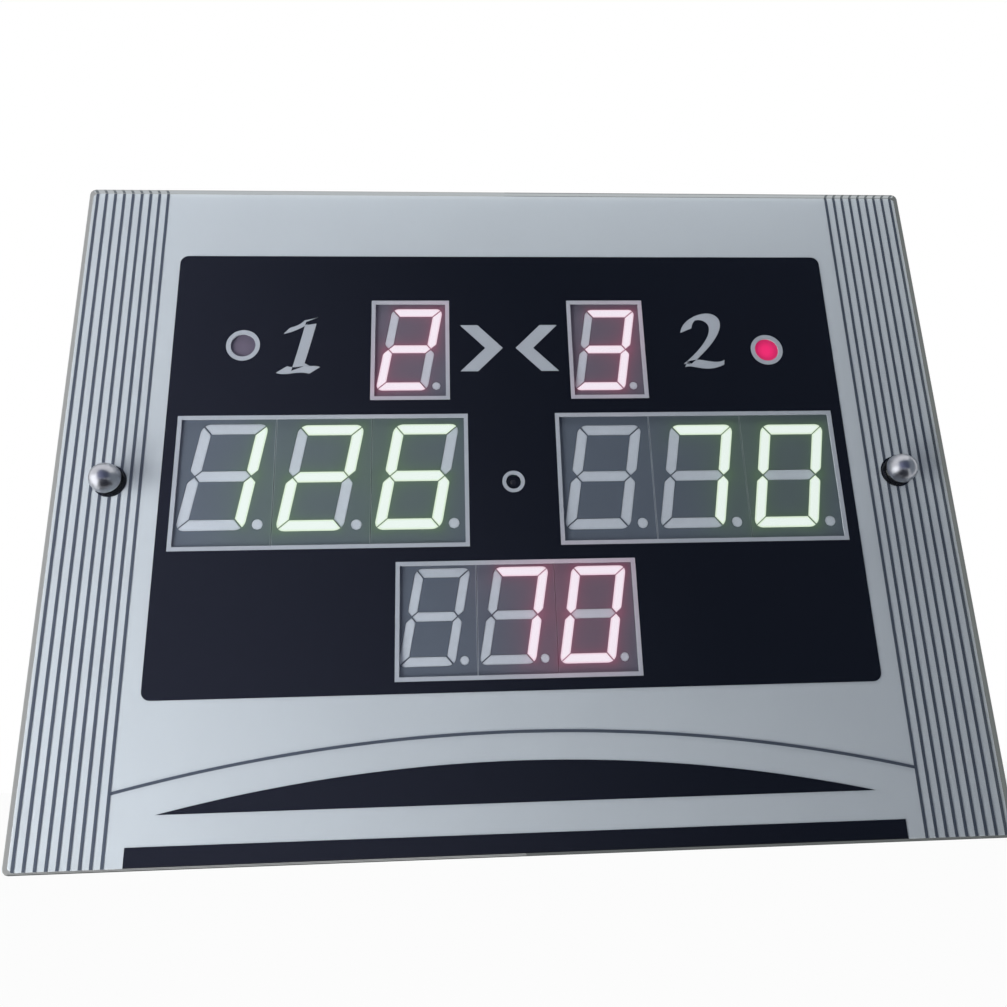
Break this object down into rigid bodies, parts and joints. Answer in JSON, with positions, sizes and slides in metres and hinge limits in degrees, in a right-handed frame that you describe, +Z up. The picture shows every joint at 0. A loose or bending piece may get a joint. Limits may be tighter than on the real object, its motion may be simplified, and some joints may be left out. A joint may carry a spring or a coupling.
{
  "type": "electronic scoreboard",
  "caption": "Wall-hung electronic scoreboard with a clear front sheet over a printed panel, segment number displays, indicator lamps and domed chrome caps.",
  "frame": {"origin": "centre of the back cover's rear face, where it lies on the wall", "axes": "+Z up, the front faces -Y, +X to the right as seen from the front, and +Y points into the wall"},
  "size_m": [0.46, 0.0427, 0.35],
  "materials": {
    "clear_glass": "clear, polished edge",
    "silver_print": "silver ink under glass",
    "black_foam": "closed-cell foam",
    "black_plastic": "fine spark texture",
    "module_grey": "satin ink on plastic",
    "cast_resin": "milky cast resin",
    "board_green": "solder mask",
    "milky_lens": "frosted",
    "lamp_resin": "tinted clear resin",
    "receiver_black": "dark moulded resin",
    "chrome": "mirror chrome plate",
    "zinc_steel": "zinc plate",
    "clear_nylon": "natural nylon",
    "wire_red": "wire sleeve",
    "can_blue": "sleeved can"
  },
  "bodies": {
    "housing": {"front_sheet": "clear_glass", "printed_film": "silver_print", "foam_seal": "black_foam", "housing_tray": "black_plastic", "back_cover": "black_plastic", "cover_screw_1": "zinc_steel", "cover_screw_2": "zinc_steel", "cover_screw_3": "zinc_steel", "cover_screw_4": "zinc_steel", "display_board": "board_green", "board_screw_1": "zinc_steel", "board_screw_2": "zinc_steel", "board_screw_3": "zinc_steel", "board_screw_4": "zinc_steel", "left_score_shell_1": "module_grey", "left_score_digit_1": "cast_resin", "left_score_shell_2": "module_grey", "left_score_digit_2": "cast_resin", "left_score_shell_3": "module_grey", "left_score_digit_3": "cast_resin", "right_score_shell_1": "module_grey", "right_score_digit_1": "cast_resin", "right_score_shell_2": "module_grey", "right_score_digit_2": "cast_resin", "right_score_shell_3": "module_grey", "right_score_digit_3": "cast_resin", "left_sets_shell_1": "module_grey", "left_sets_digit_1": "cast_resin", "right_sets_shell_1": "module_grey", "right_sets_digit_1": "cast_resin", "lower_score_shell_1": "module_grey", "lower_score_digit_1": "cast_resin", "lower_score_shell_2": "module_grey", "lower_score_digit_2": "cast_resin", "lower_score_shell_3": "module_grey", "lower_score_digit_3": "cast_resin", "left_lamp": "lamp_resin", "left_lamp_lens": "milky_lens", "right_lamp": "lamp_resin", "right_lamp_lens": "milky_lens", "remote_receiver": "receiver_black", "left_bolt": "zinc_steel", "left_washer": "clear_nylon", "right_bolt": "zinc_steel", "right_washer": "clear_nylon", "controller_chip": "receiver_black", "left_driver_chip": "receiver_black", "right_driver_chip": "receiver_black", "voltage_regulator": "receiver_black", "smoothing_capacitor": "can_blue", "buzzer": "receiver_black", "power_inlet": "black_plastic", "inlet_pin": "zinc_steel", "inlet_nut": "zinc_steel", "switch_body": "black_plastic", "inlet_lead": "wire_red", "board_lead": "wire_red"},
    "rocker": {"power_rocker": "black_plastic"},
    "left_dome": {"left_cap": "chrome"},
    "right_dome": {"right_cap": "chrome"}
  },
  "joints": [
    {"name": "power_rocker_tilt", "type": "hinge", "parent": "housing", "child": "rocker", "pos_m": [-0.112, -0.01395, -0.1621], "axis": [0, 1, 0], "range_deg": [0, 20]},
    {"name": "left_cap_turn", "type": "hinge", "parent": "housing", "child": "left_dome", "pos_m": [-0.2035, -0.0343, 0.006], "axis": [0, 1, 0], "continuous": true},
    {"name": "right_cap_turn", "type": "hinge", "parent": "housing", "child": "right_dome", "pos_m": [0.2035, -0.0343, 0.006], "axis": [0, 1, 0], "continuous": true}
  ]
}
